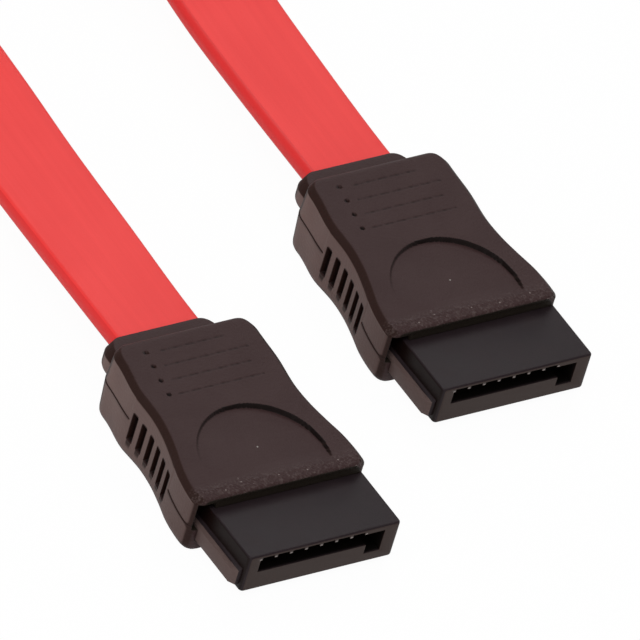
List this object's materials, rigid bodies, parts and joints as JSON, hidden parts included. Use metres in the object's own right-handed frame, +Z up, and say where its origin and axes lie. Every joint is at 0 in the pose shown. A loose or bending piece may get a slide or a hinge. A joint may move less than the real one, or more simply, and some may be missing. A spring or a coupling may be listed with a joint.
{
  "type": "sata data cable",
  "caption": "Flat red data cable with a straight black plug at each end, each with an L-shaped slot, a thumb recess and grip slots.",
  "frame": {"origin": "middle of the two plugs, on the surface that their flat undersides rest on", "axes": "-Y is the way both plugs push into a drive, +X is across the two plugs, +Z is up out of the thumb recesses"},
  "size_m": [0.0528, 0.1568, 0.0109],
  "materials": {
    "overmould": "soft black moulded plastic with a fine grain",
    "housing": "smooth satin black hard plastic",
    "carrier": "natural moulded plastic",
    "contact": "thin gold plating on spring bronze",
    "wire": "bright tinned copper",
    "core": "white foamed insulation",
    "foil": "wrapped aluminium foil",
    "jacket": "satin red flexible PVC",
    "tie": "black vinyl strap"
  },
  "bodies": {
    "root": {"overmould_a": "overmould", "housing_a": "housing", "wire_carrier_a": "carrier", "contact_a_1": "contact", "contact_a_2": "contact", "contact_a_3": "contact", "contact_a_4": "contact", "contact_a_5": "contact", "contact_a_6": "contact", "contact_a_7": "contact", "drain_wire_a_1": "wire", "drain_wire_a_4": "wire", "drain_wire_a_7": "wire", "conductor_a_2": "wire", "conductor_a_3": "wire", "conductor_a_5": "wire", "conductor_a_6": "wire", "core_insulation_a_2": "core", "core_insulation_a_3": "core", "core_insulation_a_5": "core", "core_insulation_a_6": "core", "pair_shield_a_1": "foil", "pair_shield_a_2": "foil", "overmould_b": "overmould", "housing_b": "housing", "wire_carrier_b": "carrier", "contact_b_1": "contact", "contact_b_2": "contact", "contact_b_3": "contact", "contact_b_4": "contact", "contact_b_5": "contact", "contact_b_6": "contact", "contact_b_7": "contact", "drain_wire_b_1": "wire", "drain_wire_b_4": "wire", "drain_wire_b_7": "wire", "conductor_b_2": "wire", "conductor_b_3": "wire", "conductor_b_5": "wire", "conductor_b_6": "wire", "core_insulation_b_2": "core", "core_insulation_b_3": "core", "core_insulation_b_5": "core", "core_insulation_b_6": "core", "pair_shield_b_1": "foil", "pair_shield_b_2": "foil", "cable_lead_a": "jacket", "cable_lead_b": "jacket", "cable_hank": "jacket", "cable_tie_left": "tie", "cable_tie_right": "tie"}
  },
  "joints": []
}
